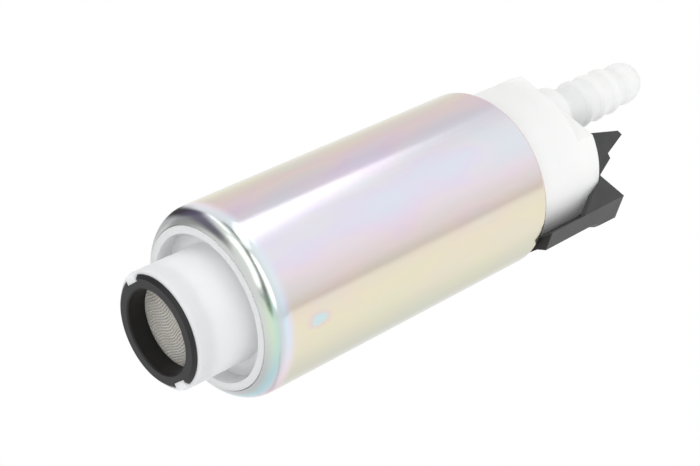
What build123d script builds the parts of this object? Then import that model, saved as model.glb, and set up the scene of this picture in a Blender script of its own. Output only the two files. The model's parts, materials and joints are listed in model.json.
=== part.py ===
"""In-tank fuel pump: a crimped steel housing with a turbine stage at the inlet, a
permanent-magnet motor in the middle and a moulded outlet cover with a hose barb.

Millimetres. The pump's axis is Z: fuel comes in at the foot plane z = 0 and leaves
upwards. The electrical connector sits on the +X side and the hose barb on the -X side.
"""
from build123d import *
from math import acos, cos, degrees, pi, radians, sin, sqrt
import os

# Housing: a drawn steel tube, rolled in over the covers at both ends
housing_radius = 19.0
housing_wall = 1.0
front_roll = 4.66          # outer radius of the rolled front edge
front_lip = 2.65           # how far the front edge reaches in from the housing's side
neck_reach = 11.17         # from the foot plane to the rolled front edge
housing_length = 73.83     # from the rolled front edge to the rear crimp
rear_bend = 1.1
rear_lip = 2.1

# Seals and clearances
seal_side = 1.56           # side of the square rubber rings
seal_sink = 0.8            # from the rubber ring's middle to the housing's bore
seal_gap = 0.06
fit_gap = 0.05             # between moulded or pressed pieces
running_gap = 0.03         # shaft in its bearings
press_fit = 0.01           # under size of the seats' bores, for pressed pieces

# Inlet neck, with the strainer ring in its mouth
rim_width = 1.67
rim_setback = 0.29         # the rim lies behind the rolled edge's front
groove_width = 3.08
groove_depth = 3.5         # from the rim to the groove's floor
neck_wall = 0.68
neck_setback = 0.75        # the neck's lip lies behind the foot plane
lip_chamfer = 0.35
ring_width = 2.65
ring_bevel = 0.6
mesh_depth = 4.0           # from the foot plane to the mesh
mesh_ledge = 1.0           # how far the mesh goes under the ring
mesh_thickness = 0.4
mesh_pitch = 1.5
mesh_opening = 1.0
key_width = 3.2
key_depth = 1.25
notch_gap = 0.35           # each side of a key
bore_step = 0.33           # the neck's bore is wider than the ring's

# Turbine stage
cover_depth = 11.83        # from the rolled front edge to the inlet cover's back
stage_wall = 2.75          # the stage body's wall round the impeller
impeller_thickness = 3.6
impeller_gap = 0.1
channel_margin = 1.6       # from the impeller's rim to the middle of the channel
channel_width = 2.0
channel_depth = 1.3
channel_start = 20.0       # degrees round the axis
channel_sweep = 300.0
vane_count = 36
vane_pocket_depth = 1.35
vane_pocket_width = 1.5
stage_plate = 5.2          # the stage body's wall behind the impeller
port_radius = 1.2
bearing_wall = 1.7
bearing_boss_wall = 2.3
bearing_length = 6.7
bearing_setback = 0.5
end_bearing_setback = 0.8
boss_taper = 6.0
passage_width = 5.0
passage_height = 3.2
thrust_radius = 2.2
thrust_height = 2.6
thrust_depth = 1.4         # from the inlet cover's back to the thrust pad's top

# Motor
shaft_radius = 2.5
flat_depth = 0.5
flux_wall = 1.4
magnet_wall = 3.9
magnet_half_angle = 60.0
magnet_start = 6.0         # from each end of the flux tube
clip_wall = 0.6
air_gap = 0.4
stack_start = 8.0          # from each end of the flux tube
slot_count = 8
slot_opening = 1.8
slot_root_depth = 2.9      # the stack's core between the shaft and the slots
tooth_tip = 1.4
tooth_width = 2.5
insulator_wall = 0.8
insulator_setback = 0.2
coil_height = 3.8
coil_core = 1.7            # from the shaft to the coils
coil_setback = 1.2         # from the stack's rim to the coils
coil_chamfer = 1.2
slot_clearance = 0.3
commutator_clearance = 1.6
commutator_core = 0.9
commutator_bar = 1.8
commutator_hub_height = 3.4
commutator_hub_setback = 1.2
commutator_neck = 0.6      # from the coils to the hub
commutator_slit = 0.5

# Brush gear
end_flange = 4.0           # height of the end plate's flange
end_step = 4.35            # from the flange's rim in to the spigot
end_skirt = 1.4
end_plate_wall = 3.2
commutator_gap = 0.6
brush_margin = 0.5         # from the commutator's rim to the brush
brush_inset = 1.7          # from the commutator's bore to the brush
brush_width = 6.0
brush_room = 7.4           # for the spring behind a brush
brush_guide_wall = 1.0
brush_turns = 5
brush_coil_share = 0.36     # of a brush's narrower side, to the middle of its spring's wire

# Outlet cover
outlet_flange = 3.5
cover_setback = 0.4        # from the crimp's edge to the cover's side
cover_height = 19.3        # outside the housing's crimp
cover_roof = 5.9
cover_edge = 0.2
cavity_gap = 0.2
step_cut = 3.75            # depth of the flat step beside the hose barb
step_height = 4.8
step_angle = -123.0        # the way that flat step faces
barb_x = -5.7
barb_y = -4.0
barb_radius = 5.35         # first barb's crest
barb_fall = 0.06           # each next crest is that much smaller
barb_bore = 2.4
barb_pitch = 4.75
barb_count = 3
barb_first = 11.1          # from the cover's end to the first barb's crest
barb_rise = 0.6
barb_base = 6.2
barb_base_height = 3.4
barb_tip = 10.1            # from the last barb's crest to the tip
nose_radius = 4.55         # plain end beyond the barbs
chamber_radius = 3.6
chamber_height = 12.6      # from the cover's end up into the barb

# Valves
seat_height = 2.5
seat_bore = 2.0
seat_cone = 0.8
poppet_radius = 3.1
poppet_height = 1.6
poppet_stem = 1.3
poppet_stem_height = 4.0
check_wire = 0.5
check_turns = 5
relief_y = 7.2
relief_boss = 4.6
relief_boss_height = 5.1
relief_bore = 2.9
relief_port = 1.3
relief_ball_radius = 2.1
relief_cap_height = 2.0
relief_wire = 0.4
relief_spring_radius = 1.5
relief_turns = 4
spring_gap = 0.05
spring_steps = 12          # straight pieces in one turn of a spring

# Connector
saddle_gap = 0.2           # between the cover's side and the connector's saddle
plate_lap = 0.2            # the plate's inner face lies that far inside the cover's side
plate_wall = 2.8
plate_half_width = 12.3
plate_corner = 3.95        # width that each outer corner of the plate loses
plate_start = 0.8          # from the crimp to the plate's lower end
plate_end = 4.7            # above the cover's end face
recess_depth = 0.8         # between the plate's two side rails
recess_half_width = 6.1
recess_slope = 2.3
recess_top = 3.0           # below the cover's end face
base_gap = 0.8             # from the hose barb's foot to the connector's base
base_height = 1.0
guard_wall = 1.8
guard_height = 12.0        # tip of the tall guards above the cover's end
guard_back_height = 3.4
guard_tip_setback = 2.1    # from the base's inner edge to the tip
guard_tip_width = 1.1
guard_tip_fall = 0.6
guard_foot = 7.7           # from the plate in to the foot of a tall guard
notch_foot = 5.9           # from the plate in to the notch between guard and gusset
web_setback = 0.5          # from the guard's outer face in to its web
web_height = 6.3           # above the cover's end face
web_width = 1.35           # top of the web
gusset_depth = 8.0         # foot of the gussets below the cover's end face
gusset_lap = 0.8           # into the plate
tooth_start = 5.8          # from the middle to each lock tooth
tooth_height = 0.75
tooth_rise = 0.1           # from the tooth's ramp to its end
tooth_length = 7.4
tooth_ramp = 2.0
blade_width = 6.3
blade_wall = 0.8
blade_chamfer = 0.25
blade_y = 4.5
blade_inset = 7.1          # from the plate in to the blades' middle
blade_height = 8.4         # above the cover's end
strip_wall = 0.8
strip_half = 0.9
strip_headroom = 0.9       # from the terminal strips to the cover's roof

# Radii worked out from the sizes above, from the housing inwards
housing_bore = housing_radius - housing_wall
roll_r = housing_radius - front_roll
front_edge_radius = housing_radius - front_lip
rear_edge_radius = housing_radius - rear_lip
groove_radius = front_edge_radius - rim_width
neck_radius = groove_radius - groove_width
ring_radius = neck_radius - neck_wall
ring_bore = ring_radius - ring_width
ring_seat = ring_radius + running_gap
neck_bore = ring_bore + bore_step
flange_radius = housing_bore - fit_gap
seal_r = housing_bore - seal_sink
seal_half = seal_side / 2 + seal_gap
impeller_radius = flange_radius - stage_wall
channel_radius = impeller_radius - channel_margin
bearing_radius = shaft_radius + bearing_wall
bearing_boss = bearing_radius + bearing_boss_wall
flux_inner = flange_radius - flux_wall
magnet_outer = flux_inner - fit_gap
magnet_inner = magnet_outer - magnet_wall + fit_gap
stack_radius = magnet_inner - air_gap
slot_root = shaft_radius + slot_root_depth
slot_top = stack_radius - tooth_tip
slot_root_width = 2 * pi * slot_root / slot_count - tooth_width
slot_top_width = 2 * pi * slot_top / slot_count - tooth_width
coil_inner = shaft_radius + coil_core
coil_outer = stack_radius - coil_setback
end_spigot = flange_radius - end_step
commutator_radius = end_spigot - end_skirt - commutator_clearance
commutator_inner = shaft_radius + commutator_core
brush_radial = commutator_radius - brush_margin - commutator_inner - brush_inset
brush_offset = commutator_radius - brush_margin - brush_radial / 2
brush_coil = min(brush_radial, brush_width)
brush_wire = brush_coil / 10
end_bearing_wall = 0.75
flow_hole = (end_spigot - bearing_radius - end_bearing_wall) / 4
flow_hole_offset = (end_spigot + bearing_radius + end_bearing_wall) / 2
cavity_radius = end_spigot + cavity_gap
cover_radius = rear_edge_radius - cover_setback
plate_inner = cover_radius - plate_lap
plate_outer = plate_inner + plate_wall
base_inner = barb_x + barb_base + base_gap
guard_tip_x = base_inner + guard_tip_setback
guard_foot_x = plate_inner - guard_foot
notch_x = plate_inner - notch_foot
blade_x = plate_inner - blade_inset

# Heights worked out from the sizes above, from the inlet upwards
roll_z = neck_reach + front_roll
housing_rear = neck_reach + housing_length
flange_top = housing_rear - housing_wall
rim_z = neck_reach + rim_setback
groove_floor = rim_z + groove_depth
ring_length = mesh_depth + mesh_thickness
cover_back = neck_reach + cover_depth
passage_top = cover_back - passage_height
stage_cavity = impeller_thickness + 2 * impeller_gap
stage_back = cover_back + stage_cavity + stage_plate
impeller_z = cover_back + impeller_gap
bearing_z = cover_back + stage_cavity + bearing_setback
thrust_z = cover_back - thrust_depth
thrust_floor = thrust_z - thrust_height
flange_z = flange_top - outlet_flange
flux_rear = flange_z - end_flange
flux_length = flux_rear - stage_back
magnet_z = stage_back + magnet_start
magnet_length = flux_length - 2 * magnet_start
stack_z = stage_back + stack_start
stack_length = flux_length - 2 * stack_start
stack_rear = stack_z + stack_length
coil_rear = stack_rear + insulator_wall + coil_height
hub_z = coil_rear + commutator_neck
bar_z = hub_z + commutator_hub_height
commutator_face = bar_z + commutator_bar
end_floor = commutator_face + commutator_gap
end_roof = end_floor + end_plate_wall
bearing_top = end_floor + end_bearing_setback + bearing_length
cover_end = housing_rear + cover_height
cavity_roof = cover_end - cover_roof
strip_z = cavity_roof - strip_headroom - strip_wall
brush_z = commutator_face + running_gap
brush_length = strip_z - brush_z - brush_room
chamber_top = cover_end + chamber_height
barb_tip_z = cover_end + barb_first + (barb_count - 1) * barb_pitch + barb_tip
seal_front_z = cover_back - passage_height
seal_rear_z = flange_z + outlet_flange / 2

os.makedirs("parts", exist_ok=True)


# Housing: wall profile with the rolled front edge and the crimped rear edge
roll_inner = front_roll - housing_wall
front_turn = acos((front_edge_radius - roll_r) / front_roll)
inner_turn = acos((front_edge_radius - roll_r) / roll_inner)
with BuildPart() as housing:
    with BuildSketch(Plane.XZ):
        with BuildLine():
            l1 = Line((housing_radius, roll_z), (housing_radius, housing_rear - rear_bend))
            RadiusArc(l1 @ 1, (housing_radius - rear_bend, housing_rear), -rear_bend)
            Polyline(
                (housing_radius - rear_bend, housing_rear),
                (rear_edge_radius, housing_rear),
                (rear_edge_radius, flange_top),
                (housing_bore, flange_top),
                (housing_bore, roll_z),
            )
            CenterArc((roll_r, roll_z), roll_inner, 0, -degrees(inner_turn))
            Line(
                (front_edge_radius, roll_z - roll_inner * sin(inner_turn)),
                (front_edge_radius, roll_z - front_roll * sin(front_turn)),
            )
            CenterArc((roll_r, roll_z), front_roll, 0, -degrees(front_turn))
        make_face()
    revolve(axis=Axis.Z)
housing.part.label = "housing"
export_step(housing.part, "parts/housing.step")


def annular_pocket(height, depth, start, sweep):
    """Solid of a flow channel round the axis, between two angles."""
    with BuildSketch(Plane.XY.offset(height)) as channel:
        with BuildLine():
            inner = CenterArc((0, 0), channel_radius - channel_width / 2, start, sweep)
            outer = CenterArc((0, 0), channel_radius + channel_width / 2, start, sweep)
            Line(inner @ 0, outer @ 0)
            Line(inner @ 1, outer @ 1)
        make_face()
    return extrude(channel.sketch, amount=depth, mode=Mode.PRIVATE)


# Inlet cover: neck, groove, rim and flange in one moulding
cover_arc = roll_inner - fit_gap
rim_outer = front_edge_radius - 3 * fit_gap
rim_turn = acos((rim_outer - roll_r) / cover_arc)
back_wall = 2.0
end_clearance = 0.3        # round the shaft's end
front_channel = annular_pocket(cover_back, -channel_depth, channel_start, channel_sweep)
with BuildPart() as inlet_cover:
    with BuildSketch(Plane.XZ):
        with BuildLine():
            Polyline(
                (neck_bore, ring_length),
                (ring_seat, ring_length),
                (ring_seat, neck_setback),
                (neck_radius - lip_chamfer, neck_setback),
                (neck_radius, neck_setback + lip_chamfer),
                (neck_radius, groove_floor),
                (groove_radius, groove_floor),
                (groove_radius, rim_z),
                (rim_outer, rim_z),
                (rim_outer, roll_z - cover_arc * sin(rim_turn)),
            )
            CenterArc((roll_r, roll_z), cover_arc, -degrees(rim_turn), degrees(rim_turn))
            Polyline(
                (roll_r + cover_arc, roll_z),
                (flange_radius, seal_front_z - seal_half),
                (seal_r - seal_half, seal_front_z - seal_half),
                (seal_r - seal_half, seal_front_z + seal_half),
                (flange_radius, seal_front_z + seal_half),
                (flange_radius, cover_back),
                (0, cover_back),
                (0, passage_top - back_wall),
                (bearing_radius, passage_top - back_wall),
                (bearing_radius, passage_top),
                (neck_bore, passage_top),
                (neck_bore, ring_length),
            )
        make_face()
    revolve(axis=Axis.Z)
    # Keys that hold the strainer ring, flush with its face
    with BuildSketch(Plane.XY):
        with Locations((-ring_seat, 0), (ring_seat, 0)):
            Rectangle(2 * key_depth, key_width)
        Circle(neck_radius - neck_wall / 2, mode=Mode.INTERSECT)
    extrude(amount=ring_length)
    # Suction passage from the bore out to the flow channel
    for inner_edge, end_z in (
        (neck_bore - 1, passage_top),
        (channel_radius - channel_width / 2, cover_back),
    ):
        with BuildSketch(Plane.XY.offset(passage_top - passage_height)):
            with Locations(Location((0, 0, 0), channel_start / 2)):
                with Locations((channel_radius, 0)):
                    Rectangle(2 * (channel_radius - inner_edge), passage_width)
            Circle(channel_radius + channel_width / 2, mode=Mode.INTERSECT)
            Circle(inner_edge, mode=Mode.SUBTRACT)
        extrude(amount=end_z - passage_top + passage_height, mode=Mode.SUBTRACT)
    add(front_channel, mode=Mode.SUBTRACT)
    # Seat of the thrust pad and room for the shaft's end
    with Locations((0, 0, cover_back)):
        CounterBoreHole(
            thrust_radius + fit_gap,
            shaft_radius + end_clearance,
            cover_back - thrust_z,
            cover_back - thrust_floor,
        )
inlet_cover.part.label = "inlet_cover"
export_step(inlet_cover.part, "parts/inlet_cover.step")


# Strainer ring: black collar in the neck's mouth, notched for the keys
with BuildPart() as strainer_ring:
    with BuildSketch(Plane.XZ):
        with BuildLine():
            Polyline(
                (ring_bore, ring_bevel / 2),
                (ring_bore + ring_bevel / 2, 0),
                (ring_radius - ring_bevel, 0),
                (ring_radius, ring_bevel),
                (ring_radius, ring_length),
                (ring_bore + mesh_ledge + fit_gap, ring_length),
                (ring_bore + mesh_ledge + fit_gap, mesh_depth),
                (ring_bore, mesh_depth),
                close=True,
            )
        make_face()
    revolve(axis=Axis.Z)
    with BuildSketch(Plane.XY):
        with Locations((-ring_seat, 0), (ring_seat, 0)):
            Rectangle(2 * (key_depth + fit_gap), key_width + 2 * notch_gap)
    extrude(amount=ring_length, mode=Mode.SUBTRACT)
strainer_ring.part.label = "strainer_ring"
export_step(strainer_ring.part, "parts/strainer_ring.step")

# Strainer mesh: flat disc of woven wire held behind the ring, and its openings
mesh_reach = ring_bore - mesh_opening
mesh_cells = int(2 * mesh_reach / mesh_pitch) + 1
mesh_first = -(mesh_cells - 1) / 2 * mesh_pitch
mesh_places = [
    (mesh_first + i * mesh_pitch, mesh_first + j * mesh_pitch)
    for i in range(mesh_cells)
    for j in range(mesh_cells)
]
with BuildPart() as strainer_mesh:
    with BuildSketch(Plane.XY.offset(mesh_depth)):
        Circle(ring_bore + mesh_ledge)
        with Locations([p for p in mesh_places if p[0] ** 2 + p[1] ** 2 < mesh_reach**2]):
            Rectangle(mesh_opening, mesh_opening, mode=Mode.SUBTRACT)
    extrude(amount=mesh_thickness)
strainer_mesh.part.label = "strainer_mesh"
export_step(strainer_mesh.part, "parts/strainer_mesh.step")

# Thrust pad: hardened button with a crowned top
with BuildPart() as thrust_pad:
    with Locations((0, 0, thrust_floor)):
        Cylinder(
            thrust_radius,
            thrust_z - thrust_floor,
            align=(Align.CENTER, Align.CENTER, Align.MIN),
        )
    chamfer(thrust_pad.edges().sort_by(Axis.Z)[-1], 0.4)
thrust_pad.part.label = "thrust_pad"
export_step(thrust_pad.part, "parts/thrust_pad.step")

# Impeller: disc with vane pockets in both faces and a D-shaped bore
with BuildPart() as impeller:
    with BuildSketch(Plane.XY.offset(impeller_z)):
        Circle(impeller_radius)
        Circle(shaft_radius + running_gap, mode=Mode.SUBTRACT)
        with Locations((shaft_radius, 0)):
            Rectangle(2 * (flat_depth - running_gap), 2 * shaft_radius)
    extrude(amount=impeller_thickness)
    for face_z, depth in (
        (impeller_z, vane_pocket_depth),
        (impeller_z + impeller_thickness, -vane_pocket_depth),
    ):
        with BuildSketch(Plane.XY.offset(face_z)):
            with PolarLocations(channel_radius, vane_count):
                Rectangle(channel_width, vane_pocket_width)
        extrude(amount=depth, mode=Mode.SUBTRACT)
impeller.part.label = "impeller"
export_step(impeller.part, "parts/impeller.step")

# Stage body: cavity for the impeller, its channel and port, and the front bearing's seat
rear_channel = annular_pocket(
    cover_back + stage_cavity, channel_depth, channel_start, channel_sweep
)
boss_top = bearing_z + bearing_length
shaft_clearance = 0.6
channel_end = channel_start + channel_sweep
with BuildPart() as stage_body:
    with BuildSketch(Plane.XY.offset(cover_back)):
        Circle(flange_radius)
    extrude(amount=stage_back - cover_back)
    with BuildSketch(Plane.XY.offset(stage_back)):
        Circle(bearing_boss)
    extrude(amount=boss_top - stage_back, taper=boss_taper)
    with BuildSketch(Plane.XY.offset(cover_back)):
        Circle(impeller_radius + impeller_gap)
    extrude(amount=stage_cavity, mode=Mode.SUBTRACT)
    add(rear_channel, mode=Mode.SUBTRACT)
    with Locations(Location((0, 0, stage_back), (0, 0, channel_end))):
        with Locations((channel_radius - port_radius / 2, 0, 0)):
            Hole(port_radius, stage_plate + 1)
    with Locations((0, 0, boss_top)):
        CounterBoreHole(shaft_radius + shaft_clearance, bearing_radius, bearing_length)
stage_body.part.label = "stage_body"
export_step(stage_body.part, "parts/stage_body.step")


def bush(name, bottom, length):
    """Sintered bush with chamfered ends, pressed into its seat."""
    with BuildPart(Plane.XY.offset(bottom)) as bearing:
        Cylinder(
            bearing_radius - press_fit,
            length,
            align=(Align.CENTER, Align.CENTER, Align.MIN),
        )
        chamfer(bearing.edges().filter_by(GeomType.CIRCLE), 0.3)
        Hole(shaft_radius + running_gap)
    bearing.part.label = name
    export_step(bearing.part, f"parts/{name}.step")


bush("front_bearing", bearing_z, bearing_length)
bush("rear_bearing", end_floor + end_bearing_setback, bearing_length)

# Flux tube: soft iron ring between the stage body and the end plate
with BuildPart() as flux_tube:
    with BuildSketch(Plane.XY.offset(stage_back)):
        Circle(flange_radius)
        Circle(flux_inner, mode=Mode.SUBTRACT)
    extrude(amount=flux_length)
flux_tube.part.label = "flux_tube"
export_step(flux_tube.part, "parts/flux_tube.step")

# Magnets: two ferrite arc segments bonded into the flux tube
for name, middle in (("magnet_a", 0), ("magnet_b", 180)):
    with BuildPart() as magnet:
        with BuildSketch(Plane.XY.offset(magnet_z)):
            with BuildLine():
                turn = middle - magnet_half_angle
                inner = CenterArc((0, 0), magnet_inner, turn, 2 * magnet_half_angle)
                outer = CenterArc((0, 0), magnet_outer, turn, 2 * magnet_half_angle)
                Line(inner @ 0, outer @ 0)
                Line(inner @ 1, outer @ 1)
            make_face()
        extrude(amount=magnet_length)
        chamfer(magnet.edges().filter_by(Axis.Z), 0.4)
    magnet.part.label = name
    export_step(magnet.part, f"parts/{name}.step")

# Clips: bent spring steel between the magnets, bearing on the tube and on both magnets
clip_outer = flux_inner - fit_gap
clip_half = 90 - magnet_half_angle - degrees(fit_gap / magnet_inner) - 1
for name, middle in (("magnet_clip_a", 90), ("magnet_clip_b", 270)):
    with BuildPart() as clip:
        with BuildSketch(Plane.XY.offset(magnet_z)):
            with BuildLine():
                turn = middle - clip_half
                inner = CenterArc((0, 0), clip_outer - clip_wall, turn, 2 * clip_half)
                outer = CenterArc((0, 0), clip_outer, turn, 2 * clip_half)
                Line(inner @ 0, outer @ 0)
                Line(inner @ 1, outer @ 1)
            make_face()
            for side in (-1, 1):
                edge = middle + side * clip_half
                leg_middle = (clip_outer + magnet_inner + 1) / 2
                with Locations(Location((0, 0, 0), edge)):
                    with Locations((leg_middle, -side * clip_wall / 2)):
                        Rectangle(clip_outer - magnet_inner - 1 - clip_wall, clip_wall)
        extrude(amount=magnet_length)
    clip.part.label = name
    export_step(clip.part, f"parts/{name}.step")

# Shaft: ground rod with a flat for the impeller and chamfered ends
shaft_low = thrust_z + fit_gap
shaft_high = bearing_top + end_bearing_setback
with BuildPart() as shaft:
    with Locations((0, 0, shaft_low)):
        Cylinder(
            shaft_radius,
            shaft_high - shaft_low,
            align=(Align.CENTER, Align.CENTER, Align.MIN),
        )
    chamfer(shaft.edges().filter_by(GeomType.CIRCLE), 0.3)
    with BuildSketch(Plane.XY.offset(shaft_low)):
        with Locations((shaft_radius, 0)):
            Rectangle(2 * flat_depth, 2 * shaft_radius)
    extrude(amount=bearing_z - shaft_low, mode=Mode.SUBTRACT)
shaft.part.label = "shaft"
export_step(shaft.part, "parts/shaft.step")


tip_slope = 0.5


def slot_outline(shrink):
    """Corners of one slot of the stack on the +X side, narrowed by a clearance."""
    root = slot_root_width / 2 - shrink / 2
    top = slot_top_width / 2 - shrink
    mouth = slot_opening / 2
    low = slot_root + shrink
    high = slot_top - shrink
    return low, high, root, top, mouth


def slotted_disc(name, bottom, height, radius):
    """Toothed disc of the stack or of an insulator, with the stack's slots."""
    low, high, root, top, mouth = slot_outline(0)
    with BuildPart() as disc:
        with BuildSketch(Plane.XY.offset(bottom)):
            Circle(radius)
            Circle(shaft_radius, mode=Mode.SUBTRACT)
            with PolarLocations(0, slot_count):
                with BuildLine():
                    Polyline(
                        (low, -root),
                        (high, -top),
                        (high + tip_slope, -mouth),
                        (radius + 1, -mouth),
                        (radius + 1, mouth),
                        (high + tip_slope, mouth),
                        (high, top),
                        (low, root),
                        close=True,
                    )
                make_face(mode=Mode.SUBTRACT)
        extrude(amount=height)
    disc.part.label = name
    export_step(disc.part, f"parts/{name}.step")


insulator_radius = stack_radius - insulator_setback
slotted_disc("stack", stack_z, stack_length, stack_radius)
slotted_disc("insulator_front", stack_z - insulator_wall, insulator_wall, insulator_radius)
slotted_disc("insulator_rear", stack_rear, insulator_wall, insulator_radius)

# Windings: the bundles in the slots and the end turns, as one wound body
coil_front_z = stack_z - insulator_wall - coil_height
low, high, root, top, mouth = slot_outline(slot_clearance)
with BuildPart() as windings:
    for bottom in (coil_front_z, stack_rear + insulator_wall):
        with BuildSketch(Plane.XY.offset(bottom)):
            Circle(coil_outer)
            Circle(coil_inner, mode=Mode.SUBTRACT)
        extrude(amount=coil_height)
    ends = windings.edges().filter_by(GeomType.CIRCLE).group_by(Axis.Z)
    chamfer(ends[0] + ends[-1], coil_chamfer)
    with BuildSketch(Plane.XY.offset(coil_front_z + coil_height)):
        with PolarLocations(0, slot_count):
            with BuildLine():
                Polyline((low, -root), (high, -top), (high, top), (low, root), close=True)
            make_face()
    extrude(amount=stack_length + 2 * insulator_wall)
windings.part.label = "windings"
export_step(windings.part, "parts/windings.step")

# Commutator: moulded hub on the shaft, and eight bars on its face
hub_sleeve = 2.4           # reaches into the coils
bar_step = 360 / slot_count
with BuildPart() as commutator_hub:
    with BuildSketch(Plane.XY.offset(hub_z)):
        Circle(commutator_radius - commutator_hub_setback)
        Circle(shaft_radius, mode=Mode.SUBTRACT)
    extrude(amount=commutator_hub_height)
    with BuildSketch(Plane.XY.offset(hub_z - hub_sleeve)):
        Circle(coil_inner - insulator_setback)
        Circle(shaft_radius, mode=Mode.SUBTRACT)
    extrude(amount=hub_sleeve)
commutator_hub.part.label = "commutator_hub"
export_step(commutator_hub.part, "parts/commutator_hub.step")

with BuildPart() as commutator_bars:
    with BuildSketch(Plane.XY.offset(bar_z)):
        Circle(commutator_radius)
        Circle(commutator_inner, mode=Mode.SUBTRACT)
        with PolarLocations(commutator_radius / 2, slot_count, start_angle=bar_step / 2):
            Rectangle(commutator_radius * 1.2, commutator_slit, mode=Mode.SUBTRACT)
    extrude(amount=commutator_bar)
commutator_bars.part.label = "commutator_bars"
export_step(commutator_bars.part, "parts/commutator_bars.step")

# End plate: flange and spigot, bearing boss, two brush guides and the flow holes
guide_x = brush_radial + 2 * (fit_gap + brush_guide_wall)
guide_y = brush_width + 2 * (fit_gap + brush_guide_wall)
guide_round = 0.6
with BuildPart() as end_plate:
    with BuildSketch(Plane.XY.offset(flux_rear)):
        Circle(flange_radius)
    extrude(amount=end_flange)
    with BuildSketch(Plane.XY.offset(flux_rear)):
        Circle(end_spigot)
    extrude(amount=end_roof - flux_rear)
    with BuildSketch(Plane.XY.offset(end_floor)):
        Circle(bearing_radius + end_bearing_wall)
    extrude(amount=bearing_top - end_floor)
    with BuildSketch(Plane.XY.offset(end_floor)):
        with Locations((-brush_offset, 0), (brush_offset, 0)):
            RectangleRounded(guide_x, guide_y, guide_round)
    extrude(amount=strip_z - end_floor)
    with BuildSketch(Plane.XY.offset(flux_rear)):
        Circle(end_spigot - end_skirt)
    extrude(amount=end_floor - flux_rear, mode=Mode.SUBTRACT)
    with BuildSketch(Plane.XY.offset(end_floor)):
        with Locations((-brush_offset, 0), (brush_offset, 0)):
            Rectangle(brush_radial + 2 * fit_gap, brush_width + 2 * fit_gap)
    extrude(amount=strip_z - end_floor, mode=Mode.SUBTRACT)
    with Locations((0, 0, bearing_top)):
        CounterBoreHole(shaft_radius + shaft_clearance, bearing_radius, bearing_length)
    with Locations((0, -flow_hole_offset, end_roof), (0, flow_hole_offset, end_roof)):
        Hole(flow_hole, end_plate_wall + 1)
end_plate.part.label = "end_plate"
export_step(end_plate.part, "parts/end_plate.step")

# Brushes: carbon blocks that ride on the commutator
for name, x in (("brush_a", brush_offset), ("brush_b", -brush_offset)):
    with BuildPart() as brush:
        with BuildSketch(Plane.XY.offset(brush_z)):
            with Locations((x, 0)):
                Rectangle(brush_radial, brush_width)
        extrude(amount=brush_length)
        chamfer(brush.faces().sort_by(Axis.Z)[-1].edges(), 0.3)
    brush.part.label = name
    export_step(brush.part, f"parts/{name}.step")


def spring(name, x, y, bottom, top, radius, wire, turns):
    """Compression spring between two seats, wound in short straight pieces."""
    rise = top - bottom - wire
    count = turns * spring_steps
    turn = radians(360 / spring_steps)
    corners = [
        (
            x + radius * cos(i * turn),
            y + radius * sin(i * turn),
            bottom + wire / 2 + rise * i / count,
        )
        for i in range(count + 1)
    ]
    with BuildPart() as coil:
        with BuildLine():
            path = Polyline(corners)
        with BuildSketch(Plane(origin=path @ 0, z_dir=path % 0)):
            RegularPolygon(wire / 2, 6)
        sweep(transition=Transition.RIGHT)
    coil.part.label = name
    export_step(coil.part, f"parts/{name}.step")


brush_spring_radius = brush_coil * brush_coil_share
for name, x in (("brush_spring_a", brush_offset), ("brush_spring_b", -brush_offset)):
    spring(
        name,
        x,
        0,
        brush_z + brush_length + spring_gap,
        strip_z - spring_gap,
        brush_spring_radius,
        brush_wire,
        brush_turns,
    )

# Terminals: stamped strips that close the brush guides and end as upright blades
blade_top = cover_end + blade_height
cap_x = guide_x
cap_y = guide_y - 2 * brush_guide_wall
with BuildPart() as terminal_a:
    with BuildSketch(Plane.XY.offset(strip_z)):
        with Locations((brush_offset, 0)):
            Rectangle(cap_x, cap_y)
        with Locations((blade_x, -blade_y / 2 - blade_wall / 4)):
            Rectangle(blade_width, blade_y + blade_wall / 2)
    extrude(amount=strip_wall)
    with BuildSketch(Plane.XY.offset(strip_z)):
        with Locations((blade_x, -blade_y)):
            Rectangle(blade_width, blade_wall)
    extrude(amount=blade_top - strip_z)
    chamfer(terminal_a.faces().sort_by(Axis.Z)[-1].edges(), blade_chamfer)
terminal_a.part.label = "terminal_a"
export_step(terminal_a.part, "parts/terminal_a.step")

strip_start = -brush_offset - guide_x / 2
with BuildPart() as terminal_b:
    with BuildSketch(Plane.XY.offset(strip_z)):
        with Locations((-brush_offset, 0)):
            Rectangle(cap_x, cap_y)
        with Locations(((strip_start + blade_x) / 2, blade_y)):
            Rectangle(blade_x - strip_start, 2 * strip_half)
        with Locations((-brush_offset, blade_y / 2)):
            Rectangle(cap_x, blade_y)
        with Locations((blade_x, blade_y)):
            Rectangle(blade_width, 2 * strip_half)
    extrude(amount=strip_wall)
    with BuildSketch(Plane.XY.offset(strip_z)):
        with Locations((blade_x, blade_y)):
            Rectangle(blade_width, blade_wall)
    extrude(amount=blade_top - strip_z)
    chamfer(terminal_b.faces().sort_by(Axis.Z)[-1].edges(), blade_chamfer)
terminal_b.part.label = "terminal_b"
export_step(terminal_b.part, "parts/terminal_b.step")

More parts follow.
